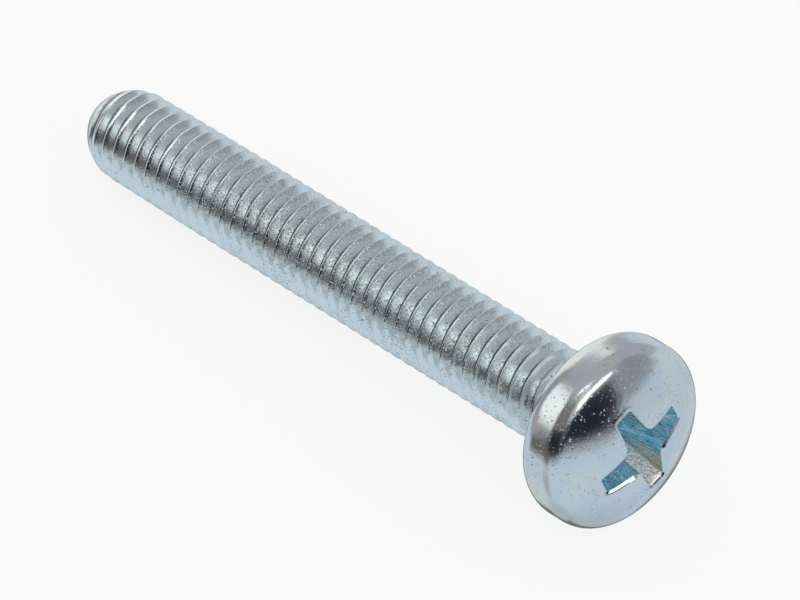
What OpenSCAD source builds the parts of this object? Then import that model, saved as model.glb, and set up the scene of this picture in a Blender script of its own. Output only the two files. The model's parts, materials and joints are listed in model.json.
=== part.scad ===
// Pan-head machine screw with a cross recess, threaded up to its head.
// It lies at rest on a flat floor, on the rim of its head and the crest of its thread near the point.
// The origin is the middle of the bearing face. The head is at +X and the floor is below, at -Z.

/* [Thread] */
// Outside diameter over the crests of the plated thread
thread_d = 4.88; // [4.4:0.02:5.4]
// Distance from one crest to the next
pitch = 0.8; // [0.6:0.05:1.1]
// Included angle between the two flanks of a groove
flank_angle = 60; // [50:1:75]
// Width of the flat along the crest
crest_w = 0.1; // [0.04:0.01:0.2]
// Width of the flat along the root
root_w = 0.16; // [0.05:0.01:0.25]

/* [Shank] */
// Length from the bearing face to the end of the point
length = 35; // [16:1:60]
// Turn of the thread about the axis, which sets where its crests lie
thread_turn = 124; // [0:1:359]
// Diameter of the plain neck, which is that of the blank before it was rolled
neck_d = 4.36; // [4.1:0.02:4.6]
// Length of the plain neck under the head
neck_l = 0.9; // [0.5:0.1:3]
// Radius of the fillet between neck and bearing face
neck_fillet = 0.3; // [0.1:0.05:0.4]
// Length over which the groove runs out towards the neck
runout_l = 1; // [0.5:0.1:2]

/* [Point] */
// Length of the rounded point, from where the crests begin to shrink
point_l = 2.5; // [1.5:0.1:3.5]
// Diameter of the flat on the end
end_d = 2.6; // [2:0.1:3.4]

/* [Head] */
// Diameter of the head
head_d = 9.76; // [9:0.02:11]
// Height of the head above the bearing face
head_h = 4; // [3.6:0.1:4.6]
// Radius of the rounded lower rim
lower_rim_r = 1.15; // [0.3:0.05:1.5]
// Radius of the rounded upper rim
upper_rim_r = 0.95; // [0.4:0.05:1.2]
// Radius of the domed top
dome_r = 8.7; // [8:0.1:14]

/* [Recess] */
// Span of the cross over two wing tips, where it opens in the dome
recess_span = 5.1; // [4.4:0.1:5.8]
// Width of a wing at its tip
wing_w = 1.02; // [0.7:0.02:1.3]
// Radius on the two corners of a wing's tip
wing_corner_r = 0.14; // [0.05:0.01:0.2]
// Distance from the axis to the web between two wings, at the mouth
web_r = 1.2; // [1:0.05:1.5]
// Radius that rounds each web at the mouth
web_round = 0.6; // [0.3:0.05:0.7]
// Depth of the wings below the top of the head
recess_depth = 2.7; // [1.8:0.1:2.9]
// Span of the cross over two wing tips at its floor
floor_span = 2.3; // [1.8:0.1:2.8]
// Width of a wing at the floor
floor_wing_w = 0.78; // [0.5:0.02:0.9]
// Distance from the axis to the web at the floor
floor_web_r = 0.75; // [0.6:0.05:0.85]
// Radius that rounds each web at the floor
floor_web_round = 0.35; // [0.15:0.05:0.4]
// Included angle of the shallow cone below the floor
floor_cone_angle = 140; // [120:5:160]
// Turn of the cross about the axis of the screw
recess_turn = 22; // [0:1:89]

/* [Hidden] */
$fn = 96;

thread_r = thread_d / 2;
neck_r = neck_d / 2;
head_r = head_d / 2;
end_r = end_d / 2;

// Thread profile over one pitch: a root flat, a rising flank, a crest flat and a falling flank
flank_run = (pitch - crest_w - root_w) / 2;
thread_depth = flank_run / tan(flank_angle / 2);
root_r = thread_r - thread_depth;
profile_z = [0, root_w, root_w + flank_run, root_w + flank_run + crest_w];
profile_r = [root_r, root_r, thread_r, thread_r];
corners = len(profile_z);

// The point is an arc that is tangent to the crests and meets the flat on the end
point_drop = thread_r - end_r;
point_arc_r = (point_l * point_l + point_drop * point_drop) / (2 * point_drop);

// The threaded stretch is let into the solid ends by a small amount all round
let_in = 0.02;
lap = 0.15;
solid_point_l = 0.8;
thread_bottom = -length + solid_point_l - lap;
thread_top = -neck_l + lap;
first_z = thread_bottom + lap / 2;

// Steps a turn, held to what the whole thread can carry in facets
facet_budget = 11000;
turns = (thread_top - lap / 2 - first_z) / pitch - 1;
steps = min(32, floor(facet_budget / (2 * corners * turns)));
last_step = floor(turns * steps);
// The uppermost turn has nothing above it but the neck, and begins at this step
top_step = last_step - steps;

// Angle by which the screw leans up towards its head when it lies on head rim and thread crest
rest_z = point_l - length;
rim_dz = lower_rim_r - rest_z;
rim_dr = head_r - lower_rim_r - thread_r;
rest_tilt = atan2(rim_dr, rim_dz) + asin(lower_rim_r / norm([rim_dz, rim_dr]));

// Where the dome and the upper rim touch
dome_z = head_h - dome_r;
rim_x = head_r - upper_rim_r;
rim_z = dome_z + sqrt(pow(dome_r - upper_rim_r, 2) - rim_x * rim_x);
touch_x = rim_x * dome_r / (dome_r - upper_rim_r);

// Depth at which the cross opens in the dome, over its wing tips
mouth_z = dome_z + sqrt(dome_r * dome_r - recess_span * recess_span / 4);
floor_z = head_h - recess_depth;
floor_cone_h = floor_web_r / tan(floor_cone_angle / 2);

// Height to which the cross is drawn out above the head, so that it cuts clear of the dome
clear_above = 0.5;

// Flats that stand for the round of a web and of a wing corner
web_steps = 6;
corner_steps = 3;

// Radius that the rounded point allows at height z
function point_r(z) =
    let (run = max(0, rest_z - z))
    thread_r - point_arc_r + sqrt(point_arc_r * point_arc_r - run * run);

// Share of the groove's depth that is left at height z, from 1 down to 0 at the neck
function groove_left(z) = min(1, max(0, (-neck_l - z) / runout_l));

// Radius of the thread at height z, at one corner of its profile
function thread_point_r(corner, z) =
    let (left = groove_left(z))
    let (cut = profile_r[corner] * left + (neck_r - let_in) * (1 - left))
    min(cut, point_r(z) - let_in * (z < rest_z ? 1 : 0));

// Point of the right-hand helix, so many steps along and at one corner of the profile
function thread_point(step, corner) =
    let (a = 360 * step / steps)
    let (z = first_z + pitch * step / steps + profile_z[corner])
    let (r = thread_point_r(corner, z))
    [r * cos(a), r * sin(a), z];

// Ring of plain points that closes an end of the thread
function ring(z, r) = [for (i = [0:steps - 1]) [r * cos(360 * i / steps), r * sin(360 * i / steps), z]];

// Two triangles of a four-sided patch, seen from outside as left, right, right and left
function patch(low_left, low_right, high_right, high_left) =
    [[low_left, high_left, high_right], [low_left, high_right, low_right]];

// Triangles from one point to each pair of neighbours along a chain
function fan(point, chain) = [for (i = [0:len(chain) - 2]) [point, chain[i], chain[i + 1]]];

// One helical strip of flanks and crest, whose root edge is stitched to the turn above it
module thread() {
    crest = corners - 1;
    strip = [for (k = [0:last_step]) for (j = [0:crest]) thread_point(k, j)];
    low_ring = ring(thread_bottom, point_r(thread_bottom) - let_in);
    high_ring = ring(thread_top, neck_r - let_in);

    function at(k, j) = k * corners + j;
    function low(i) = len(strip) + i % steps;
    function high(i) = len(strip) + steps + i % steps;

    flanks = [
        for (k = [0:last_step - 1]) for (j = [0:crest - 1])
            each patch(at(k, j), at(k + 1, j), at(k + 1, j + 1), at(k, j + 1))
    ];
    roots = [
        for (k = [0:top_step - 1])
            each patch(at(k, crest), at(k + 1, crest), at(k + steps + 1, 0), at(k + steps, 0))
    ];
    low_band = [
        for (k = [0:steps - 2]) each patch(low(k), low(k + 1), at(k + 1, 0), at(k, 0))
    ];
    low_step = fan(
        at(steps - 1, 0),
        [at(steps, 0), for (j = [crest:-1:0]) at(0, j), low(0), low(steps - 1)]
    );
    high_band = [
        for (k = [top_step + 1:last_step - 1])
            each patch(at(k, crest), at(k + 1, crest), high(k + 1), high(k))
    ];
    high_step = fan(
        at(top_step + 1, crest),
        [at(top_step, crest), for (j = [0:crest]) at(last_step, j), high(top_step), high(top_step + 1)]
    );
    caps = [[for (i = [0:steps - 1]) low(i)], [for (i = [steps - 1:-1:0]) high(i)]];
    polyhedron(
        points = concat(strip, low_ring, high_ring),
        faces = concat(flanks, roots, low_band, low_step, high_band, high_step, caps)
    );
}

// Quarter disc that rounds a convex corner of the turned outline
module quarter(x, z, r, up) {
    intersection() {
        translate([x, z]) circle(r);
        translate([x, up ? z : z - r]) square(r);
    }
}

module head_outline() {
    quarter(head_r - lower_rim_r, lower_rim_r, lower_rim_r, false);
    quarter(rim_x, rim_z, upper_rim_r, true);
    square([head_r - lower_rim_r, rim_z]);
    translate([0, lower_rim_r]) square([head_r, rim_z - lower_rim_r]);
    intersection() {
        translate([0, dome_z]) circle(dome_r);
        square([touch_x, head_h]);
    }
}

module neck_outline() {
    translate([0, -neck_l]) square([neck_r, neck_l + lap]);
    difference() {
        translate([0, -neck_fillet]) square([neck_r + neck_fillet, neck_fillet + lap]);
        translate([neck_r + neck_fillet, -neck_fillet]) circle(neck_fillet);
    }
}

module point_outline() {
    intersection() {
        translate([thread_r - point_arc_r, rest_z]) circle(point_arc_r);
        translate([0, -length]) square([thread_r, solid_point_l]);
    }
}

// A flat point turned about the origin
function turned(p, a) = [p.x * cos(a) - p.y * sin(a), p.x * sin(a) + p.y * cos(a)];

// Arc of points about a centre, between two angles
function bow(centre, r, start, stop, count) =
    [for (i = [0:count]) centre + turned([r, 0], start + (stop - start) * i / count)];

// Outline of the cross at one level: a wing tip with round corners and then a rounded web, four times
function cross_outline(span, wing, web, web_arc) =
    let (corner = [span / 2 - wing_corner_r, wing / 2 - wing_corner_r])
    let (side = corner + [0, wing_corner_r])
    let (centre = turned([web + web_arc, 0], 45))
    let (to_side = side - centre)
    let (touch = acos(web_arc / norm(to_side)) - atan2(to_side.y, to_side.x))
    let (quarter_outline = concat(
        bow([corner.x, -corner.y], wing_corner_r, -90, 0, corner_steps),
        bow(corner, wing_corner_r, 0, 90, corner_steps),
        bow(centre, web_arc, 360 - touch, 90 + touch, web_steps)
    ))
    [for (quadrant = [0:90:270]) for (p = quarter_outline) turned(p, quadrant)];

// Outline of the cross at height z, which narrows evenly from mouth to floor
function cross_at(z) =
    let (open = (z - floor_z) / (mouth_z - floor_z))
    cross_outline(
        floor_span + (recess_span - floor_span) * open,
        floor_wing_w + (wing_w - floor_wing_w) * open,
        floor_web_r + (web_r - floor_web_r) * open,
        floor_web_round + (web_round - floor_web_round) * open
    );

module cross_recess() {
    top_z = head_h + clear_above;
    low = cross_at(floor_z);
    high = cross_at(top_z);
    n = len(low);
    walls = [for (i = [0:n - 1]) each patch(i, (i + 1) % n, n + (i + 1) % n, n + i)];
    rotate([0, 0, recess_turn]) {
        polyhedron(
            points = concat([for (p = low) [p.x, p.y, floor_z]], [for (p = high) [p.x, p.y, top_z]]),
            faces = concat(walls, [[for (i = [0:n - 1]) i], [for (i = [n - 1:-1:0]) n + i]])
        );
        translate([0, 0, floor_z - floor_cone_h]) cylinder(h = floor_cone_h, r1 = 0, r2 = floor_web_r);
    }
}

module screw_axis() {
    rotate([0, 90 - rest_tilt, 0]) children();
}

module machine_screw() {
    color("lightsteelblue")
        screw_axis()
            difference() {
                union() {
                    rotate_extrude() {
                        head_outline();
                        neck_outline();
                    }
                    rotate_extrude() point_outline();
                    rotate([0, 0, thread_turn]) thread();
                }
                cross_recess();
            }
}

machine_screw();
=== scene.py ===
# %% [markdown]
# A pan-head machine screw, laid on a white table
#
# The real thing is one piece of steel wire. A press upsets its head and punches the cross recess,
# two flat dies roll the thread, and a zinc bath with a blue passivation gives it its cold shine.
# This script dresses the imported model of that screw: it models the thread and the head finely
# enough for a close view, gives them their finish, and sets the table, the lamps and the camera.

# %% Load the fixed frame
import json
import math

import bmesh
import bpy
import numpy as np
from mathutils import Matrix, Vector


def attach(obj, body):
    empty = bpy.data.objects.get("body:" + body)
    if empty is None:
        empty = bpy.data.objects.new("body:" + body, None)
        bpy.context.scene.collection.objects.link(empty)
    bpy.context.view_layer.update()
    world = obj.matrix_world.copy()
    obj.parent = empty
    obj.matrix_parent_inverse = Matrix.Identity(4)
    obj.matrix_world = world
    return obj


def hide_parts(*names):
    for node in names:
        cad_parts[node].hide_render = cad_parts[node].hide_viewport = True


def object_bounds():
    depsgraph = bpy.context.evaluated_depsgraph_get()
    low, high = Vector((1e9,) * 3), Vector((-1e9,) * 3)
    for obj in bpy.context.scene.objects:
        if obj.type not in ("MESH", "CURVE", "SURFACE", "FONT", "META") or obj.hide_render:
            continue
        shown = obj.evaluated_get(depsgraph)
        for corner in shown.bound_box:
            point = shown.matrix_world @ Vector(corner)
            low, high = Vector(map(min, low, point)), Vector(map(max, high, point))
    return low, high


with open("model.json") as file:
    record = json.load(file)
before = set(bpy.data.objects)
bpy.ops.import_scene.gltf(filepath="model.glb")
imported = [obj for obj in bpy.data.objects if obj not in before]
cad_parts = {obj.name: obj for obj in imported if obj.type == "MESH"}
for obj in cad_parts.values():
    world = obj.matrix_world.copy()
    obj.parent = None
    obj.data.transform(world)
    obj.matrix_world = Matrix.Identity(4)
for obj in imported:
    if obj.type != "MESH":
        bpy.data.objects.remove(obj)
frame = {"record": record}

cad_low, cad_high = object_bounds()
print("CAD box in mm:", [round(v * 1000, 2) for v in (*cad_low, *cad_high)])

# %% [markdown]
# Sizes
#
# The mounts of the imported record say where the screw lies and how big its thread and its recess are,
# so those sizes are read and not typed again. The other sizes are those of the turned outline, in
# millimetres. Everything is modelled standing up, with its bearing face at height 0 and its head
# above, because that is how a turned part is easiest to think of. It is laid down at the end.

# %% Read the mounts and name the sizes
MM = 0.001
mounts = {mount["name"]: mount for mount in frame["record"]["mounts"]}
head_direction = -Vector(mounts["bearing_face"]["axis"])
rest_tilt = math.atan2(head_direction.z, head_direction.x)

thread_r = mounts["thread"]["dims"]["r_mm"]
length = Vector(mounts["thread"]["pos_m"]).length / MM
pitch = 0.8
flank_angle = 62
flank_crown = 1.5
crest_arc_r = 0.05
root_arc_r = 0.09
# One point of the crest line, which sets the turn of the helix
crest_angle = math.radians(124)
crest_height = -33.795

neck_r = 2.18
neck_length = 0.9
neck_fillet = 0.3
runout_length = 1.0
point_length = 2.5
end_r = 1.3
end_round = 0.25

head_r = 4.88
head_height = Vector(mounts["drive_recess"]["pos_m"]).length / MM
lower_rim_r = 1.15
upper_rim_r = 0.95
dome_r = 8.7
print(f"length {length:.2f} mm, head {2 * head_r} x {head_height:.2f} mm")
print(f"the axis leans {math.degrees(rest_tilt):.2f} degrees up towards the head")

# %% [markdown]
# Drawing an outline with one vertex
#
# A turned or rolled shape starts as a flat outline. It could be typed as a table of points, but an
# outline is really a few straight stretches and a few arcs. So one vertex is moved like a pen: an
# extrude draws a straight line, and a spin about an arc's centre draws the arc.

# %% A pen made of one vertex
UP = (0, 0, 1)
SIDEWAYS = (0, 1, 0)


def start_outline(name, x, z):
    """A new mesh in edit mode that holds one selected vertex in the XZ plane."""
    bpy.ops.object.select_all(action="DESELECT")
    bpy.ops.mesh.primitive_plane_add(size=1, location=(0, 0, 0))
    piece = bpy.context.object
    piece.name = name
    bpy.ops.object.mode_set(mode="EDIT")
    bpy.ops.mesh.select_mode(type="VERT")
    bpy.ops.mesh.merge(type="CENTER")
    bpy.ops.transform.translate(value=(x, 0, z))
    return piece


def pen_point():
    """Place of the pen, which is the selected vertex."""
    bm = bmesh.from_edit_mesh(bpy.context.object.data)
    return next(v.co.copy() for v in bm.verts if v.select)


def line_to(x, z, steps=1):
    """Draws a straight stretch from the pen to (x, z)."""
    step = (Vector((x, 0, z)) - pen_point()) / steps
    for _ in range(steps):
        bpy.ops.mesh.extrude_region_move(TRANSFORM_OT_translate={"value": step})


def arc_about(x, z, degrees, steps):
    """Draws an arc about the centre (x, z). Positive degrees turn from X towards Z."""
    bpy.ops.mesh.spin(steps=steps, angle=math.radians(degrees), center=(x, 0, z), axis=SIDEWAYS)


# %% [markdown]
# The thread
#
# On the real screw the thread is pressed up between flat dies, so its crests and roots are slightly
# round, and the zinc makes its flanks bulge a little. So its outline over one pitch is made of arcs
# that meet tangentially: a half root, a flank, a crest, a flank and a half root. The normal of a
# flank leans about 62 degrees out of the radial direction, less by the crown at the crest and more by
# it at the root. A stack of rings would be easier to make, but it would show no helix at the ends.
# The Screw modifier sweeps the outline up a true helix, one pitch for each turn.

# %% Outline of one pitch
ROOT_STEPS = 3
FLANK_STEPS = 8
CREST_STEPS = 12
STEPS_A_TURN = 56
# The sweep starts below the end of the screw and stops above the neck. Both ends are cut off later.
TURNS = 46
SPARE_TURNS = 2


def leaning(degrees):
    """Direction that leans this far from straight out towards the head, as (x, z)."""
    return Vector((math.cos(math.radians(degrees)), math.sin(math.radians(degrees))))


crest_at_zero = crest_height - pitch * crest_angle / math.tau
start_z = crest_at_zero - pitch / 2 - SPARE_TURNS * pitch
crest_z = start_z + pitch / 2
end_z = start_z + pitch

at_crest = leaning(flank_angle - flank_crown)
at_root = leaning(flank_angle + flank_crown)
flank_rise = pitch / 2 - crest_arc_r * at_crest.y - root_arc_r * at_root.y
flank_drop = flank_rise * math.tan(math.radians(flank_angle))
root_r = thread_r - crest_arc_r * (1 - at_crest.x) - root_arc_r * (1 - at_root.x) - flank_drop
flank_arc_r = math.hypot(flank_rise, flank_drop) / 2 / math.sin(math.radians(flank_crown))
crest_centre = Vector((thread_r - crest_arc_r, crest_z))
flank_top = crest_centre + crest_arc_r * at_crest
flank_centre = flank_top - flank_arc_r * at_crest

thread = start_outline("thread", root_r, start_z)
arc_about(root_r + root_arc_r, start_z, -flank_angle - flank_crown, ROOT_STEPS)
arc_about(flank_centre.x, 2 * crest_z - flank_centre.y, 2 * flank_crown, FLANK_STEPS)
arc_about(crest_centre.x, crest_z, 2 * (flank_angle - flank_crown), CREST_STEPS)
arc_about(flank_centre.x, flank_centre.y, 2 * flank_crown, FLANK_STEPS)
arc_about(root_r + root_arc_r, end_z, -flank_angle - flank_crown, ROOT_STEPS)
closing = pen_point() - Vector((root_r, 0, end_z))
bpy.ops.object.mode_set(mode="OBJECT")
print(f"outline of one pitch: {len(thread.data.vertices)} points, root radius {root_r:.3f} mm")
print(f"it ends {closing.length * 1000:.3f} micrometres from where the next turn starts")

# %% Sweep it up the helix
MERGE_DISTANCE = 0.001
helix = thread.modifiers.new("helix", "SCREW")
helix.axis = "Z"
helix.angle = math.tau
helix.screw_offset = pitch
helix.iterations = TURNS
helix.steps = STEPS_A_TURN
helix.render_steps = STEPS_A_TURN
bpy.ops.object.modifier_apply(modifier=helix.name)
bpy.ops.object.mode_set(mode="EDIT")
bpy.ops.mesh.select_all(action="SELECT")
bpy.ops.mesh.remove_doubles(threshold=MERGE_DISTANCE)
bpy.ops.object.mode_set(mode="OBJECT")
print("swept thread:", len(thread.data.polygons), "faces")

# %% [markdown]
# Where the thread begins and ends
#
# The dies run out towards the neck, so the groove gets shallower there. The blank has a round point,
# so the first crests are cut down by it. For a few turns more the dies don't fill the crests, which
# leaves them blunt, with a narrow flat that leans towards the end. These are rules about a radius at
# a height. They are applied to the vertices in code, because no modifier limits a radius.

# %% The round point
point_drop = thread_r - end_r
point_arc_r = (point_length**2 + point_drop**2) / (2 * point_drop)
point_start = point_length - length
arc_centre_r = thread_r - point_arc_r
corner_z = end_round - length
corner_r = arc_centre_r + math.sqrt((point_arc_r - end_round) ** 2 - (point_start - corner_z) ** 2)


def point_limit(z):
    """Largest radius that the round point and its blunt end allow at heights z."""
    run = np.clip(point_start - z, 0, point_arc_r)
    on_arc = arc_centre_r + np.sqrt(point_arc_r**2 - run**2)
    drop = np.clip(corner_z - z, 0, end_round)
    on_corner = corner_r + np.sqrt(end_round**2 - drop**2)
    lean = (corner_r - arc_centre_r) / (point_arc_r - end_round)
    touch_z = corner_z - end_round * math.sqrt(1 - lean**2)
    return np.where(z < touch_z, on_corner, on_arc)


print(f"radius of the point's arc {point_arc_r:.2f} mm, its corner sits at radius {corner_r:.2f} mm")

# %% Blunt crests near the end
BLUNT_CRESTS_UP_TO = 9.0
BLUNT_DEPTH = 0.055
BLUNT_SLOPE = math.tan(math.radians(9))
BLUNT_SOFTNESS = 0.008
LEAST_SHARE = 0.001


def blunt_crests(radius, angle, z):
    """The radius with its crests cut to leaning flats, most at the end and not at all further up."""
    share = (BLUNT_CRESTS_UP_TO - length - z) / (BLUNT_CRESTS_UP_TO - point_length)
    share = np.clip(share, LEAST_SHARE, 1)
    past_crest = (z - crest_at_zero - pitch * angle / math.tau + pitch / 2) % pitch - pitch / 2
    cap = thread_r + (BLUNT_SLOPE * past_crest - BLUNT_DEPTH) * share
    softness = BLUNT_SOFTNESS * share
    return radius - softness * np.log1p(np.exp((radius - cap) / softness))


print(f"crests are cut by up to {BLUNT_DEPTH} mm on the last {BLUNT_CRESTS_UP_TO} mm of the screw")

# %% Move the vertices
points = np.empty(len(thread.data.vertices) * 3)
thread.data.vertices.foreach_get("co", points)
points = points.reshape(-1, 3)
radius = np.hypot(points[:, 0], points[:, 1])
angle = np.arctan2(points[:, 1], points[:, 0])
groove_left = np.clip((-neck_length - points[:, 2]) / runout_length, 0, 1)
faded = blunt_crests(radius, angle, points[:, 2]) * groove_left + neck_r * (1 - groove_left)
limited = np.minimum(faded, point_limit(points[:, 2]))
points[:, :2] *= (limited / radius)[:, None]
thread.data.vertices.foreach_set("co", points.ravel())
thread.data.update()
print(f"radius of the thread from {limited.min():.3f} to {limited.max():.3f} mm")

# %% Cut both ends off square
NECK_CUT = -0.4
CUT_THRESHOLD = 1e-5
bpy.ops.object.mode_set(mode="EDIT")
bpy.ops.mesh.select_all(action="SELECT")
bpy.ops.mesh.bisect(
    plane_co=(0, 0, -length), plane_no=UP, clear_inner=True, use_fill=True, threshold=CUT_THRESHOLD
)
bpy.ops.mesh.select_all(action="SELECT")
bpy.ops.mesh.bisect(plane_co=(0, 0, NECK_CUT), plane_no=UP, clear_outer=True, threshold=CUT_THRESHOLD)
bpy.ops.object.mode_set(mode="OBJECT")
heights = [v.co.z for v in thread.data.vertices]
print(f"thread from {min(heights):.3f} to {max(heights):.3f} mm")

# %% [markdown]
# The head
#
# The head is pressed round, like a turned part, so its outline is drawn once and spun all round: the
# fillet under the head, the bearing face, the lower rim, the side, the upper rim and the dome. It
# stops on the dome, at a circle just outside the cross, because the recess is not round.

# %% Spin the head
RIM_STEPS = 144
FILLET_STEPS = 6
FLAT_STEPS = 3
LOWER_RIM_STEPS = 12
UPPER_RIM_STEPS = 14
DOME_STEPS = 6
BORDER_R = 3.3
dome_z = head_height - dome_r
rim_x = head_r - upper_rim_r
rim_z = dome_z + math.sqrt((dome_r - upper_rim_r) ** 2 - rim_x**2)
rim_sweep = math.degrees(math.atan2(rim_z - dome_z, rim_x))
border_sweep = math.degrees(math.acos(BORDER_R / dome_r)) - rim_sweep

screw = start_outline("screw_body", neck_r, -neck_fillet)
arc_about(neck_r + neck_fillet, -neck_fillet, -90, FILLET_STEPS)
line_to(head_r - lower_rim_r, 0, FLAT_STEPS)
arc_about(head_r - lower_rim_r, lower_rim_r, 90, LOWER_RIM_STEPS)
line_to(head_r, rim_z, FLAT_STEPS)
arc_about(rim_x, rim_z, rim_sweep, UPPER_RIM_STEPS)
arc_about(0, dome_z, border_sweep, DOME_STEPS)
bpy.ops.mesh.select_all(action="SELECT")
bpy.ops.mesh.spin(steps=RIM_STEPS, angle=math.tau, center=(0, 0, 0), axis=UP)
print("turned head:", len(bmesh.from_edit_mesh(screw.data).faces), "faces")

# %% [markdown]
# The cross recess
#
# A punch leaves four tapered wings with a round web between each pair. A boolean cut would leave
# ragged faces on the dome and no room for the small rolled lip, so the recess is grown from the
# head's own border instead. The loop of edges is extruded inwards ring by ring: over the dome until
# it has the outline of the cross, over the lip, down the tapered walls and in to the middle. The
# punch leans a little, so the lip is a raised bead on one side and hardly there on the other.

# %% Sizes of the recess
recess_span = 2 * mounts["drive_recess"]["dims"]["r_mm"]
recess_depth = mounts["drive_recess"]["dims"]["length_mm"]
recess_turn = math.radians(22)
wing_width = 1.02
web_r = 1.2
web_round = 0.6
floor_web_round = 0.35
floor_span = 2.3
floor_wing_width = 0.78
floor_web_r = 0.75
floor_cone_angle = 140
wing_corner_r = 0.14
print(f"recess {recess_span:.2f} mm over its wings and {recess_depth:.2f} mm deep")

# %% Outline of the cross at one level
# From the middle of a wing's tip to the middle of a web. Eight times their sum are the rim's steps.
TIP_STEPS = 3
CORNER_STEPS = 3
SIDE_STEPS = 7
WEB_STEPS = 5


def straight(start, stop, steps):
    """Points from start towards stop, which is left out."""
    return [start.lerp(stop, i / steps) for i in range(steps)]


def bow(centre, r, start, sweep, steps):
    """Points of an arc from the angle start over sweep, in radians. The last one is left out."""
    angles = [start + sweep * i / steps for i in range(steps)]
    return [centre + r * Vector((math.cos(a), math.sin(a))) for a in angles]


def cross_outline(span, wing, web, corner, web_arc):
    """One point for each step of the head's rim, four wings round, from the middle of a wing's tip."""
    diagonal = Vector((1, 1)).normalized()
    tip_x, tip_y = span / 2, wing / 2
    corner_mid = Vector((tip_x - corner, tip_y - corner))
    side_start = Vector((tip_x - corner, tip_y))
    web_mid = diagonal * (web + web_arc)
    reach = side_start - web_mid
    leave = math.atan2(reach.y, reach.x) - math.acos(web_arc / reach.length)
    side_end = web_mid + web_arc * Vector((math.cos(leave), math.sin(leave)))
    half_web = math.radians(-135) - leave
    eighth = straight(Vector((tip_x, 0)), Vector((tip_x, tip_y - corner)), TIP_STEPS)
    eighth += bow(corner_mid, corner, 0, math.pi / 2, CORNER_STEPS)
    eighth += straight(side_start, side_end, SIDE_STEPS)
    eighth += bow(web_mid, web_arc, leave, half_web, WEB_STEPS)
    mirrored = [Vector((p.y, p.x)) for p in eighth[:0:-1]]
    quarter = eighth + [diagonal * web] + mirrored
    return [Matrix.Rotation(recess_turn + math.pi / 2 * k, 2) @ p for k in range(4) for p in quarter]


def cross_at(share, grow=0):
    """The cross at a share of its depth, 0 at the mouth and 1 at the floor, grown outwards all round."""
    return cross_outline(
        recess_span + (floor_span - recess_span) * share + 2 * grow,
        wing_width + (floor_wing_width - wing_width) * share + 2 * grow,
        web_r + (floor_web_r - web_r) * share + grow,
        wing_corner_r + grow,
        web_round + (floor_web_round - web_round) * share - grow,
    )


print("points round the cross:", len(cross_at(0)), "of", RIM_STEPS)

# %% Places on the dome and height of the lip
leaning_side = 22
pressed_side = 337
lip_width = 0.28
low_lip = 0.008
high_lip = 0.14
LEAST_FACING = 0.2
FULL_FACING = 0.9
PRESSED_SHARE = 0.25


def on_dome(p, depth=0):
    """The flat point p, lifted to a depth below the dome."""
    return Vector((p.x, p.y, dome_z + math.sqrt(dome_r**2 - p.length_squared) - depth))


def towards(degrees):
    """Flat direction at this angle about the axis of the screw."""
    return Vector((math.cos(math.radians(degrees)), math.sin(math.radians(degrees))))


def lip_height(inner, outer):
    """Height of the lip between two points of the outline, highest on the leaning side."""
    facing = (outer - inner).normalized().dot(towards(leaning_side))
    share = min(max((facing - LEAST_FACING) / (FULL_FACING - LEAST_FACING), 0), 1)
    pressed = 1 - PRESSED_SHARE + PRESSED_SHARE * inner.normalized().dot(towards(pressed_side))
    return low_lip + (high_lip - low_lip) * share**2 * (3 - 2 * share) * pressed


lip = cross_at(0, lip_width)
edge_of_mouth = cross_at(0)
lip_heights = [lip_height(inner, outer) for inner, outer in zip(edge_of_mouth, lip)]
print(f"lip from {min(lip_heights):.3f} to {max(lip_heights):.3f} mm high")

# %% Extruding one ring of edges, from the border of the head
LOOP_TOLERANCE = 0.01


def turn_of(vert):
    """Angle of a vertex past the middle of the first wing, with half a step to spare."""
    return (math.atan2(vert.co.y, vert.co.x) - recess_turn + math.pi / RIM_STEPS) % math.tau


def selected_loop():
    """Selected vertices in their order round the axis, from the middle of the first wing."""
    bm = bmesh.from_edit_mesh(screw.data)
    return sorted((v for v in bm.verts if v.select), key=turn_of)


def grow_ring(places):
    """Extrudes the selected loop of edges and moves its new points to these places."""
    bpy.ops.mesh.extrude_edges_move()
    for vert, place in zip(selected_loop(), places, strict=True):
        vert.co = place
    bmesh.update_edit_mesh(screw.data)


bpy.ops.mesh.select_mode(type="EDGE")
bpy.ops.mesh.select_all(action="DESELECT")
bm = bmesh.from_edit_mesh(screw.data)
for edge in bm.edges:
    on_border = [v.co.z > rim_z and abs(v.co.xy.length - BORDER_R) < LOOP_TOLERANCE for v in edge.verts]
    edge.select_set(all(on_border))
bmesh.update_edit_mesh(screw.data)
border = [v.co.xy.copy() for v in selected_loop()]
print("points on the border:", len(border))

# %% Grow the dome and the lip
# Each ring of the lip has a share of its width outwards and a share of its height.
LIP_PROFILE = ((0.85, 0.3), (0.72, 0.75), (0.6, 1), (0.5, 0.97), (0.36, 0.68), (0.18, 0.33), (0, 0))
DOME_RINGS = 7
for k in range(1, DOME_RINGS + 1):
    grow_ring([on_dome(a.lerp(b, k / DOME_RINGS)) for a, b in zip(border, lip)])
for outwards, raised in LIP_PROFILE:
    ring = cross_at(0, lip_width * outwards)
    grow_ring([on_dome(p, -h * raised) for p, h in zip(ring, lip_heights)])
print("rings on the dome and the lip:", DOME_RINGS + len(LIP_PROFILE))

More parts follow.
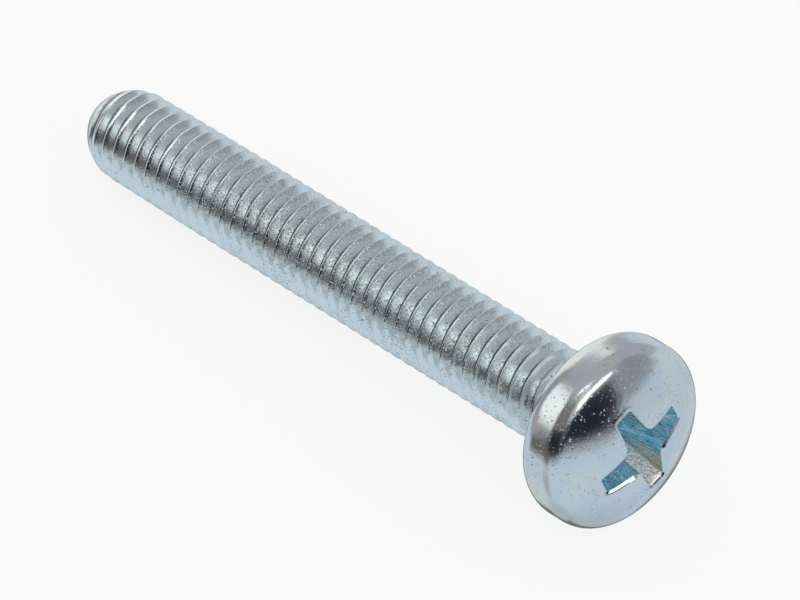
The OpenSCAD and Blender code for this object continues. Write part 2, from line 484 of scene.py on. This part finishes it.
# %% Grow the walls and the floor
WALL_RINGS = 10
FLOOR_SHARES = (0.9, 0.7, 0.45, 0.2)
floor_z = head_height - recess_depth
cone_slope = 1 / math.tan(math.radians(floor_cone_angle / 2))
mouth = [on_dome(p) for p in edge_of_mouth]
for k in range(1, WALL_RINGS + 1):
    share = k / WALL_RINGS
    level = cross_at(share)
    grow_ring([Vector((*p, m.z + (floor_z - m.z) * share)) for p, m in zip(level, mouth)])
for share in FLOOR_SHARES:
    flat = [p * share for p in cross_at(1)]
    grow_ring([Vector((*p, floor_z - cone_slope * max(0, floor_web_r - p.length))) for p in flat])
bpy.ops.mesh.extrude_edges_move()
bpy.ops.mesh.merge(type="CENTER")
bpy.ops.object.mode_set(mode="OBJECT")
print("head with its recess:", len(screw.data.polygons), "faces")

# %% [markdown]
# One piece
#
# The head and the thread are one piece of metal. Their two open rings face each other inside the
# neck, so both meshes are joined and the rings are bridged. A boolean union would do it too, but it
# leaves slivers where two surfaces nearly touch. Then the normals are made to point out of the closed
# solid, and the screw is scaled to metres and laid down as the frame says.

# %% Join and bridge
SHARP_EDGE = math.radians(40)
bpy.ops.object.select_all(action="DESELECT")
thread.select_set(True)
screw.select_set(True)
bpy.context.view_layer.objects.active = screw
bpy.ops.object.join()
bpy.ops.object.mode_set(mode="EDIT")
bpy.ops.mesh.select_mode(type="EDGE")
bpy.ops.mesh.select_all(action="DESELECT")
bm = bmesh.from_edit_mesh(screw.data)
for edge in bm.edges:
    edge.select_set(edge.is_boundary)
bmesh.update_edit_mesh(screw.data)
bpy.ops.mesh.bridge_edge_loops()
bpy.ops.mesh.select_all(action="SELECT")
bpy.ops.mesh.normals_make_consistent(inside=False)
bpy.ops.object.mode_set(mode="OBJECT")
bpy.ops.object.shade_smooth_by_angle(angle=SHARP_EDGE)

bm = bmesh.new()
bm.from_mesh(screw.data)
open_edges = [e for e in bm.edges if not e.is_manifold]
print("open edges:", len(open_edges), " volume in mm3:", round(bm.calc_volume(), 1))
bm.free()

# %% Give the recess its own slot and lay the screw down
# A face of the recess lies deeper than the first of these below the dome, and higher than the second
# above the bearing face.
EDGE_OF_RECESS = 0.09
LOWEST_IN_RECESS = 0.5
for face in screw.data.polygons:
    c = face.center
    below = on_dome(c.xy).z - c.z if c.xy.length < BORDER_R else 0
    face.material_index = int(c.z > LOWEST_IN_RECESS and below > EDGE_OF_RECESS)
print("faces in the recess:", sum(face.material_index for face in screw.data.polygons))

lie_down = Matrix.Rotation(math.pi / 2 - rest_tilt, 4, "Y")
screw.data.transform(lie_down @ Matrix.Scale(MM, 4))
screw.data.update()
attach(screw, "root")
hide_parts("machine_screw")
print("triangles:", sum(len(p.vertices) - 2 for p in screw.data.polygons))

# %% [markdown]
# The finish
#
# Zinc from a bath is a soft, bright metal mirror with a fine grain. A blue passivation on it is a film
# thinner than a wavelength of light, which gives the grey a cold tint that drifts between blue, green
# and straw. Tumbled in a drum with thousands of others, the screw also gets stains, specks and pits.
# Pictures wrapped round the screw could show all that, but they would need seams and stop at their
# own sharpness. So each kind of mark is a pattern made of noise or of cells, at its real size.

# %% Colours and a helper for nodes


def linear(hex_colour):
    """An sRGB hex colour as the linear values that a shader takes."""
    channels = [int(hex_colour[i : i + 2], 16) / 255 for i in (0, 2, 4)]
    return (*(c / 12.92 if c <= 0.04045 else ((c + 0.055) / 1.055) ** 2.4 for c in channels), 1)


def add_node(tree, kind, inputs=(), **settings):
    """Adds a node with its settings. Each input is a value, or the output socket to link to it."""
    node = tree.nodes.new(kind)
    for name, value in settings.items():
        setattr(node, name, value)
    for name, value in dict(inputs).items():
        if isinstance(value, bpy.types.NodeSocket):
            tree.links.new(value, node.inputs[name])
        else:
            node.inputs[name].default_value = value
    return node


def new_material(name):
    """A new material with an empty node tree, and that tree."""
    material = bpy.data.materials.new(name)
    material.use_nodes = True
    material.node_tree.nodes.clear()
    return material, material.node_tree


print("E0ECF4 in linear light:", [round(c, 3) for c in linear("E0ECF4")[:3]])

# %% [markdown]
# Patterns in millimetres on the upright screw
#
# The screw lies down, but a groove or a lengthwise streak is easiest to describe on a screw that
# stands up. So a Mapping node turns the Object coordinates back upright and scales them to
# millimetres. A pattern scale of one over a size in millimetres then gives spots of that size.

# %% Upright place, distance from the axis and height


def upright_place(tree):
    """Socket for the place on the upright screw, in millimetres."""
    place = add_node(tree, "ShaderNodeTexCoord").outputs["Object"]
    turned_back = (0, rest_tilt - math.pi / 2, 0)
    return add_node(
        tree, "ShaderNodeMapping", {"Vector": place, "Scale": (1 / MM,) * 3, "Rotation": turned_back}
    ).outputs["Vector"]


zinc, tree = new_material("blue_passivated_zinc")
upright = upright_place(tree)
flat = add_node(tree, "ShaderNodeVectorMath", {0: upright, 1: (1, 1, 0)}, operation="MULTIPLY")
radius = add_node(tree, "ShaderNodeVectorMath", {0: flat.outputs["Vector"]}, operation="LENGTH")
height = add_node(tree, "ShaderNodeSeparateXYZ", {"Vector": upright}).outputs["Z"]
print("nodes for the place on the screw:", len(tree.nodes))

# %% [markdown]
# Bright zinc with a blue passivation
#
# The colour of a metal is the share of light that it mirrors. Here that is about nine tenths of the
# blue and three quarters of the red, because the thin film takes some of the red away. The tint drifts
# from blue to green over a few millimetres, with a little straw in smaller patches. Each drift is a
# soft noise that mixes two colours.

# %% Colour of the film
DRIFT_SIZE = 2.4
STRAW_SIZE = 0.6
drift = add_node(tree, "ShaderNodeTexNoise", {"Vector": upright, "Scale": 1 / DRIFT_SIZE, "Detail": 2})
green_share = add_node(
    tree,
    "ShaderNodeMapRange",
    {"Value": drift.outputs["Fac"], "From Min": 0.4, "From Max": 0.7},
    interpolation_type="SMOOTHSTEP",
)
film = add_node(
    tree,
    "ShaderNodeMixRGB",
    {"Fac": green_share.outputs["Result"], "Color1": linear("E0ECF4"), "Color2": linear("E6F1EC")},
)
straw = add_node(
    tree, "ShaderNodeTexNoise", {"Vector": upright, "Scale": 1 / STRAW_SIZE, "Detail": 4, "Roughness": 0.6}
)
straw_share = add_node(
    tree,
    "ShaderNodeMapRange",
    {"Value": straw.outputs["Fac"], "From Min": 0.56, "From Max": 0.8, "To Max": 0.45},
    interpolation_type="SMOOTHSTEP",
)
film = add_node(
    tree,
    "ShaderNodeMixRGB",
    {"Fac": straw_share.outputs["Result"], "Color1": film.outputs["Color"], "Color2": linear("E1CEBA")},
)
print("nodes after the drifts:", len(tree.nodes))

# %% Brighter and less blue on the thread: partly burnished by the dies, partly painted light
burnished_and_lit = add_node(
    tree,
    "ShaderNodeMapRange",
    {"Value": height, "From Min": -0.1, "From Max": -0.9, "To Max": 0.9},
    interpolation_type="SMOOTHSTEP",
)
# The thread's lighter colour is partly painted light, which lifts it above what the lamps give.
film = add_node(
    tree,
    "ShaderNodeMixRGB",
    {"Fac": burnished_and_lit.outputs["Result"], "Color1": film.outputs["Color"], "Color2": linear("F0FAFA")},
)
print("nodes after the film:", len(tree.nodes))

# %% [markdown]
# Stains and specks
#
# Where the bath dried in drops it left ragged grey-brown stains, and where the film is broken the
# steel shows as a dark or rusty speck. Stains come from a rough noise that only shows inside the
# patches of a wider one. Specks come from a pattern of cells: each cell has one dot, and its random
# colour decides if the dot shows at all. A noise pushes the cells about, so no dot is quite round.

# %% Stains
PATCH_SIZE = 1.3
STAIN_SIZE = 0.22
patches = add_node(tree, "ShaderNodeTexNoise", {"Vector": upright, "Scale": 1 / PATCH_SIZE, "Detail": 2})
stained = add_node(
    tree,
    "ShaderNodeMapRange",
    {"Value": patches.outputs["Fac"], "From Min": 0.46, "From Max": 0.6, "To Max": 0.55},
    interpolation_type="SMOOTHSTEP",
)
ragged = add_node(
    tree, "ShaderNodeTexNoise", {"Vector": upright, "Scale": 1 / STAIN_SIZE, "Detail": 4, "Roughness": 0.7}
)
stain = add_node(
    tree,
    "ShaderNodeMapRange",
    {"Value": ragged.outputs["Fac"], "From Min": 0.58, "From Max": 0.7, "To Max": stained.outputs["Result"]},
    interpolation_type="SMOOTHSTEP",
)
film = add_node(
    tree,
    "ShaderNodeMixRGB",
    {"Fac": stain.outputs["Result"], "Color1": film.outputs["Color"], "Color2": linear("958477")},
)
print("nodes after the stains:", len(tree.nodes))

# %% Specks of 0.05 to 0.1 mm in about a third of the cells
WARP_SIZE = 0.09
PUSH = 0.16
SPECK_CELL = 0.4
warp = add_node(tree, "ShaderNodeTexNoise", {"Vector": upright, "Scale": 1 / WARP_SIZE, "Detail": 1})
pushed = add_node(
    tree,
    "ShaderNodeVectorMath",
    {0: warp.outputs["Color"], 1: (PUSH,) * 3, 2: upright},
    operation="MULTIPLY_ADD",
)
cells = add_node(tree, "ShaderNodeTexVoronoi", {"Vector": pushed.outputs["Vector"], "Scale": 1 / SPECK_CELL})
choice = add_node(tree, "ShaderNodeSeparateColor", {"Color": cells.outputs["Color"]})
chosen = add_node(
    tree,
    "ShaderNodeMapRange",
    {"Value": choice.outputs["Red"], "From Min": 0.6, "From Max": 0.95, "To Max": 0.9},
)
speck = add_node(
    tree,
    "ShaderNodeMapRange",
    {
        "Value": cells.outputs["Distance"],
        "From Min": 0.17,
        "From Max": 0.07,
        "To Max": chosen.outputs["Result"],
    },
    interpolation_type="SMOOTHSTEP",
)
print("nodes after the places of the specks:", len(tree.nodes))

# %% Dark and rusty specks
rusty = add_node(
    tree, "ShaderNodeMapRange", {"Value": choice.outputs["Green"], "From Min": 0.4, "From Max": 0.6}
)
speck_colour = add_node(
    tree,
    "ShaderNodeMixRGB",
    {"Fac": rusty.outputs["Result"], "Color1": linear("686D71"), "Color2": linear("A3735A")},
)
film = add_node(
    tree,
    "ShaderNodeMixRGB",
    {
        "Fac": speck.outputs["Result"],
        "Color1": film.outputs["Color"],
        "Color2": speck_colour.outputs["Color"],
    },
)
print("nodes after the specks:", len(tree.nodes))

# %% [markdown]
# Painted shade in the groove
#
# The bottom of the groove is painted dark, as the shade that falls into it under the next crest,
# while neck and point are left out. A pattern could only guess where the groove is. The distance from
# the axis knows it exactly, so it decides, and the height keeps the painted shade off both ends.

# %% Painted shade in the groove
SHADE_FROM = root_r + 0.13
SHADE_FULL = root_r + 0.04
UNSHADED_ABOVE, SHADED_BELOW = -1.6, -2.8
UNSHADED_BELOW, SHADED_ABOVE = -34.4, -33.6
below_neck = add_node(
    tree,
    "ShaderNodeMapRange",
    {"Value": height, "From Min": UNSHADED_ABOVE, "From Max": SHADED_BELOW, "To Max": 0.9},
)
above_point = add_node(
    tree,
    "ShaderNodeMapRange",
    {
        "Value": height,
        "From Min": UNSHADED_BELOW,
        "From Max": SHADED_ABOVE,
        "To Max": below_neck.outputs["Result"],
    },
)
painted_root_shade = add_node(
    tree,
    "ShaderNodeMapRange",
    {
        "Value": radius.outputs["Value"],
        "From Min": SHADE_FROM,
        "From Max": SHADE_FULL,
        "To Max": above_point.outputs["Result"],
    },
    interpolation_type="SMOOTHSTEP",
)
# The root of the groove is painted this dark colour, as shade.
film = add_node(
    tree,
    "ShaderNodeMixRGB",
    {"Fac": painted_root_shade.outputs["Result"], "Color1": film.outputs["Color"], "Color2": linear("45463F")},
)
print("nodes after the groove_shade:", len(tree.nodes))

# %% [markdown]
# Dents, waves and pits
#
# In the drum the screws knock against each other, which leaves close dents of about 0.1 mm. They are
# fewest on the head and weakest near the end of the screw. Real dents would need millions of faces,
# so Bump nodes only make the surface catch the light as if it had them. Their distances are depths in
# metres, like the mesh.

# %% Dents from the drum, weaker near the end and outside the stained patches
DENT_SIZE = 0.11
dents = add_node(tree, "ShaderNodeTexVoronoi", {"Vector": pushed.outputs["Vector"], "Scale": 1 / DENT_SIZE})
along = add_node(
    tree,
    "ShaderNodeMapRange",
    {"Value": height, "From Min": -33, "From Max": -22, "To Min": 0.1},
    interpolation_type="SMOOTHSTEP",
)
by_patch = add_node(
    tree,
    "ShaderNodeMapRange",
    {
        "Value": patches.outputs["Fac"],
        "From Min": 0.36,
        "From Max": 0.58,
        "To Min": 0.2,
        "To Max": along.outputs["Result"],
    },
    interpolation_type="SMOOTHSTEP",
)
print("nodes after the strength of the dents:", len(tree.nodes))

# %% Fewer dents on the head, and the relief
DENT_DEPTH = 0.022
dent_choice = add_node(tree, "ShaderNodeSeparateColor", {"Color": dents.outputs["Color"]})
fewer = add_node(
    tree,
    "ShaderNodeMapRange",
    {"Value": height, "From Min": -0.5, "From Max": 0.5, "To Min": -0.3, "To Max": 0.84},
)
dented = add_node(
    tree,
    "ShaderNodeMapRange",
    {
        "Value": dent_choice.outputs["Blue"],
        "From Min": fewer.outputs["Result"],
        "From Max": 0.85,
        "To Max": by_patch.outputs["Result"],
    },
)
dent_height = add_node(
    tree,
    "ShaderNodeMapRange",
    {
        "Value": dents.outputs["Distance"],
        "From Min": 0.45,
        "From Max": 0.05,
        "To Max": dented.outputs["Result"],
    },
    interpolation_type="SMOOTHSTEP",
)
bump = add_node(
    tree,
    "ShaderNodeBump",
    {"Height": dent_height.outputs["Result"], "Strength": 1, "Distance": DENT_DEPTH * MM},
    invert=True,
)
print("nodes after the dents:", len(tree.nodes))

# %% Waves of the plating and pits at the specks
WAVE_SIZE = 0.25
WAVE_DEPTH = 0.006
PIT_DEPTH = 0.015
grain = add_node(
    tree, "ShaderNodeTexNoise", {"Vector": upright, "Scale": 1 / WAVE_SIZE, "Detail": 3, "Roughness": 0.6}
)
waves = add_node(
    tree,
    "ShaderNodeBump",
    {
        "Height": grain.outputs["Fac"],
        "Strength": 1,
        "Distance": WAVE_DEPTH * MM,
        "Normal": bump.outputs["Normal"],
    },
)
pits = add_node(
    tree,
    "ShaderNodeBump",
    {
        "Height": speck.outputs["Result"],
        "Strength": 1,
        "Distance": PIT_DEPTH * MM,
        "Normal": waves.outputs["Normal"],
    },
    invert=True,
)
print("nodes after the waves and pits:", len(tree.nodes))

# %% Shader of the zinc, bright in the clean patches and a little duller in the stained ones
roughness = add_node(
    tree,
    "ShaderNodeMapRange",
    {"Value": patches.outputs["Fac"], "From Min": 0.3, "From Max": 0.7, "To Min": 0.13, "To Max": 0.2},
)
shader = add_node(
    tree,
    "ShaderNodeBsdfPrincipled",
    {
        "Base Color": film.outputs["Color"],
        "Metallic": 1,
        "Roughness": roughness.outputs["Result"],
        "Normal": pits.outputs["Normal"],
    },
)
add_node(tree, "ShaderNodeOutputMaterial", {"Surface": shader.outputs["BSDF"]})
screw.data.materials.append(zinc)
print(zinc.name, "has", len(tree.nodes), "nodes")

# %% [markdown]
# Zinc in the recess
#
# The bath drains slowly out of the recess, so the film is thicker there and clearly teal, but for the
# side that the bath reached well. The punch drew fine streaks down the walls. A noise that is
# stretched along the axis gives those streaks, both as colour and as relief.

# %% Streaks down the walls
STREAK_SIZE = 0.13
STREAK_DEPTH = 0.07
LENGTHWISE_SCALE = 0.12
recess_zinc, tree = new_material("zinc_in_the_recess")
upright = upright_place(tree)
drawn_out = add_node(tree, "ShaderNodeMapping", {"Vector": upright, "Scale": (1, 1, LENGTHWISE_SCALE)})
streaks = add_node(
    tree, "ShaderNodeTexNoise", {"Vector": drawn_out.outputs["Vector"], "Scale": 1 / STREAK_SIZE, "Detail": 3}
)
streak_share = add_node(
    tree,
    "ShaderNodeMapRange",
    {"Value": streaks.outputs["Fac"], "From Min": 0.42, "From Max": 0.6},
    interpolation_type="SMOOTHSTEP",
)
teal = add_node(
    tree,
    "ShaderNodeMixRGB",
    {"Fac": streak_share.outputs["Result"], "Color1": linear("B2E5F3"), "Color2": linear("F8FDFE")},
)
print("nodes after the streaks:", len(tree.nodes))

# %% Thin film on one side, and the shader
thin_side = add_node(
    tree,
    "ShaderNodeVectorMath",
    {0: upright, 1: (math.cos(recess_turn), math.sin(recess_turn), 0)},
    operation="DOT_PRODUCT",
)
bare_share = add_node(
    tree,
    "ShaderNodeMapRange",
    {"Value": thin_side.outputs["Value"], "From Min": 0.9, "From Max": 1.6, "To Max": 0.85},
    interpolation_type="SMOOTHSTEP",
)
film = add_node(
    tree,
    "ShaderNodeMixRGB",
    {"Fac": bare_share.outputs["Result"], "Color1": teal.outputs["Color"], "Color2": linear("EBEAE2")},
)
bump = add_node(
    tree, "ShaderNodeBump", {"Height": streaks.outputs["Fac"], "Strength": 1, "Distance": STREAK_DEPTH * MM}
)
shader = add_node(
    tree,
    "ShaderNodeBsdfPrincipled",
    {"Base Color": film.outputs["Color"], "Metallic": 1, "Roughness": 0.14, "Normal": bump.outputs["Normal"]},
)
add_node(tree, "ShaderNodeOutputMaterial", {"Surface": shader.outputs["BSDF"]})
screw.data.materials.append(recess_zinc)
print(recess_zinc.name, "has", len(tree.nodes), "nodes")

# %% [markdown]
# Table, lamps and room
#
# A bright screw shows its surroundings more than itself, so the studio is part of the finish. The
# table is white paper. To the camera most of its white is a glow, so it comes out even, and the rest
# takes the light of the room and keeps a faint soft shadow of the screw. The screw's reflections don't
# see this table. They see the paper that is painted into the room further down, which can be lighter
# or darker from one side to the other.

# %% Table
TABLE_SIZE = 1.2
PAPER_GLOW = 0.85
bpy.ops.object.select_all(action="DESELECT")
bpy.ops.mesh.primitive_plane_add(size=TABLE_SIZE, location=(0, 0, cad_low.z))
table = bpy.context.object
table.name = "table"
paper, tree = new_material("white_paper")
path = add_node(tree, "ShaderNodeLightPath")
diffuse = add_node(tree, "ShaderNodeBsdfPrincipled", {"Base Color": linear("F6F6F6"), "Roughness": 0.8})
glow = add_node(tree, "ShaderNodeEmission", {"Color": linear("FFFFFF"), "Strength": 1})
seen_share = add_node(
    tree, "ShaderNodeMath", {0: path.outputs["Is Camera Ray"], 1: PAPER_GLOW}, operation="MULTIPLY"
)
surface = add_node(
    tree,
    "ShaderNodeMixShader",
    {0: seen_share.outputs["Value"], 1: diffuse.outputs["BSDF"], 2: glow.outputs["Emission"]},
)
add_node(tree, "ShaderNodeOutputMaterial", {"Surface": surface.outputs["Shader"]})
table.data.materials.append(paper)
table.visible_glossy = False
print(f"table at height {cad_low.z / MM:.2f} mm")

# %% [markdown]
# Lamps
#
# Two softboxes light the screw. The wide one gives the bright streak on the dome, and the narrow one
# overhead puts a soft light on the thread. A softbox is a rectangular area lamp. Its power is worked
# out from how bright it should look, so its size can change while its reflection stays as bright.

# %% Lamps


def direction(azimuth, elevation):
    """Direction of an azimuth, from the front round to +X, and an elevation, in degrees."""
    a, e = math.radians(azimuth), math.radians(elevation)
    return Vector((math.sin(a) * math.cos(e), -math.cos(a) * math.cos(e), math.sin(e)))


LAMP_DISTANCE = 0.25


def softbox(name, azimuth, elevation, width, height, radiance):
    """A rectangular lamp that faces the head of the screw and looks as bright as radiance."""
    data = bpy.data.lights.new(name, "AREA")
    data.shape = "RECTANGLE"
    data.size, data.size_y = width, height
    data.energy = radiance * math.pi * width * height
    lamp = bpy.data.objects.new(name, data)
    bpy.context.scene.collection.objects.link(lamp)
    back = direction(azimuth, elevation)
    lamp.location = back * LAMP_DISTANCE
    lamp.rotation_euler = back.to_track_quat("Z", "Y").to_euler()
    lamp.visible_camera = False
    print(name, f"has {data.energy:.3f} W")


softbox("softbox_head", azimuth=88, elevation=36.5, width=0.188, height=0.075, radiance=1.35)
softbox("strip_top", azimuth=40, elevation=67, width=0.11, height=0.035, radiance=0.9)

# %% [markdown]
# The room
#
# The rest of the room only shows as reflections, so nothing of it is modelled. It is painted into the
# world as zones with soft edges, by azimuth and elevation: grey walls and ceiling, a window and two
# screens on the left, dark things in front, and the paper all round below. A photograph of a room
# wrapped round the scene would be quicker, but no single edge of it could be moved.

# %% Azimuth and elevation of a ray
world = bpy.data.worlds.new("studio")
bpy.context.scene.world = world
world.use_nodes = True
tree = world.node_tree
tree.nodes.clear()
looking = add_node(tree, "ShaderNodeTexCoord").outputs["Generated"]
axes = add_node(tree, "ShaderNodeSeparateXYZ", {"Vector": looking})
flipped = add_node(tree, "ShaderNodeMath", {0: axes.outputs["Y"], 1: -1}, operation="MULTIPLY")
azimuth = add_node(
    tree, "ShaderNodeMath", {0: axes.outputs["X"], 1: flipped.outputs["Value"]}, operation="ARCTAN2"
)
elevation = add_node(tree, "ShaderNodeMath", {0: axes.outputs["Z"]}, operation="ARCSINE")
print("nodes for the direction of a ray:", len(tree.nodes))

# %% A zone of the room, and how zones are painted


def zone(left, right, low, high, soft=5, soft_top=None):
    """Mask of the part of the room between two azimuths and two elevations, all in degrees."""
    edges = (
        (azimuth, left, soft),
        (azimuth, right, -soft),
        (elevation, low, soft),
        (elevation, high, -(soft_top or soft)),
    )
    mask = 1
    for angle, place, half in edges:
        mask = add_node(
            tree,
            "ShaderNodeMapRange",
            {
                "Value": angle.outputs["Value"],
                "From Min": math.radians(place - half),
                "From Max": math.radians(place + half),
                "To Max": mask,
            },
            interpolation_type="SMOOTHSTEP",
        ).outputs["Result"]
    return mask


def painted(colour, zones):
    """The colour, a value or a socket, with each zone painted over it and over the zones before."""
    for name, mask, paint in zones:
        colour = add_node(
            tree, "ShaderNodeMixRGB", {"Fac": mask, "Color1": colour, "Color2": linear(paint)}, name=name
        ).outputs["Color"]
    return colour


# %% Walls, window, screens and dark things
# The numbers are left, right, low and high, and how far each edge fades to either side. A sixth
# number is how far the top edge fades.
ROOM = (
    ("wall_right", zone(108, 155, -5, 46), "919197"),
    ("left_low", zone(-90, -30, -9, 13, 5, 6), "A7A3A5"),
    ("brown_cabinet", zone(-38, 44, 14, 52, 6, 9), "787072"),
    ("front_low", zone(-36, -8, -12, 18, 5), "5C575B"),
    ("black_cloth", zone(-14, 111, -9, 20, 4), "1E1E2A"),
    ("stand", zone(38, 64, 2, 18, 6), "504D50"),
    ("grey_glow", zone(43, 60, 26, 56, 4), "B0AEB2"),
    ("glow_beside_the_lamp", zone(54, 76, 22, 62, 4), "CECBD0"),
    ("white_screen", zone(-131, -92, -30, 42, 6), "F2ECE8"),
    ("grey_screen", zone(-86, -62, -9, 46, 5), "9C9694"),
    ("window_left", zone(-64, -31, 10, 44, 6), "FFFFFF"),
    ("near_paper_right", zone(110, 150, -30, 1, 3), "C2C9D2"),
    ("far_paper_right", zone(146, 195, -30, 12, 4), "C9CFD8"),
    ("far_paper_left", zone(-195, -138, -30, 9, 4), "C9CFD8"),
)
room_seen = painted(linear("AAA9AD"), ROOM)
print("zones of the room:", len(ROOM))

# %% Paper, darker where the screw shades it
PAPER = (
    ("lit_paper", zone(10, 140, -95, -8, 12), "C8D2DD"),
    ("paper_behind", zone(150, 195, -95, -8, 8), "C3CDD8"),
    ("paper_beside_the_screw", zone(-30, 8, -56, -28, 8), "B2B4B6"),
    ("paper_under_the_screw", zone(-195, 195, -95, -62, 8), "B6BCC2"),
    ("paper_under_the_end", zone(-162, -104, -95, -28, 8), "707070"),
)
paper_seen = painted(linear("CDD1D5"), PAPER)
print("zones of the paper:", len(PAPER))

# %% Edge of the paper, which ends earlier on the left of the front
PAPER_ENDS_FROM = -20
PAPER_ENDS_AT = -11
horizon = add_node(
    tree,
    "ShaderNodeMapRange",
    {
        "Value": elevation.outputs["Value"],
        "From Min": math.radians(PAPER_ENDS_FROM),
        "From Max": math.radians(PAPER_ENDS_AT),
    },
    interpolation_type="SMOOTHSTEP",
)
surroundings = add_node(
    tree,
    "ShaderNodeMixRGB",
    {"Fac": horizon.outputs["Result"], "Color1": paper_seen, "Color2": room_seen},
).outputs["Color"]
BEYOND_THE_PAPER = (("dark_strip", zone(-47, 2, -19, -5, 6), "66605B"),)
surroundings = painted(surroundings, BEYOND_THE_PAPER)
print("nodes of the painted room:", len(tree.nodes))

# %% What each kind of ray sees
path = add_node(tree, "ShaderNodeLightPath")
room = add_node(tree, "ShaderNodeBackground", {"Color": surroundings, "Strength": 1})
plain = add_node(tree, "ShaderNodeBackground", {"Color": linear("DCDCDC"), "Strength": 1})
white = add_node(tree, "ShaderNodeBackground", {"Color": linear("FFFFFF"), "Strength": 1})
lit = add_node(
    tree,
    "ShaderNodeMixShader",
    {0: path.outputs["Is Glossy Ray"], 1: plain.outputs["Background"], 2: room.outputs["Background"]},
)
seen = add_node(
    tree,
    "ShaderNodeMixShader",
    {0: path.outputs["Is Camera Ray"], 1: lit.outputs["Shader"], 2: white.outputs["Background"]},
)
add_node(tree, "ShaderNodeOutputWorld", {"Surface": seen.outputs["Shader"]})
print("reflections see the room, soft light comes from plain grey, and the camera sees white")

# %% [markdown]
# The camera
#
# The photograph has little perspective, so it was taken with a long lens, from above the head's side.
# The focal length is given in pixels of the photograph, and the lens in millimetres follows from it
# and from the width of the sensor.

# %% Camera
IMAGE_WIDTH = 800
SENSOR = 36
FOCAL_PIXELS = 10847
camera_azimuth = 47.62
camera_elevation = 39.72
camera_distance = 0.52672
look_at = Vector((-0.01332, 0, -0.00092))
camera_data = bpy.data.cameras.new("camera")
camera_data.sensor_width = SENSOR
camera_data.lens = FOCAL_PIXELS / IMAGE_WIDTH * SENSOR
camera_data.clip_start = 0.01
camera = bpy.data.objects.new("camera", camera_data)
bpy.context.scene.collection.objects.link(camera)
back = direction(camera_azimuth, camera_elevation)
camera.location = look_at + back * camera_distance
camera.rotation_euler = back.to_track_quat("Z", "Y").to_euler()
bpy.context.scene.camera = camera
bpy.context.scene.view_settings.view_transform = "Standard"
print(f"lens of {camera_data.lens:.0f} mm, {camera_distance:.2f} m away")
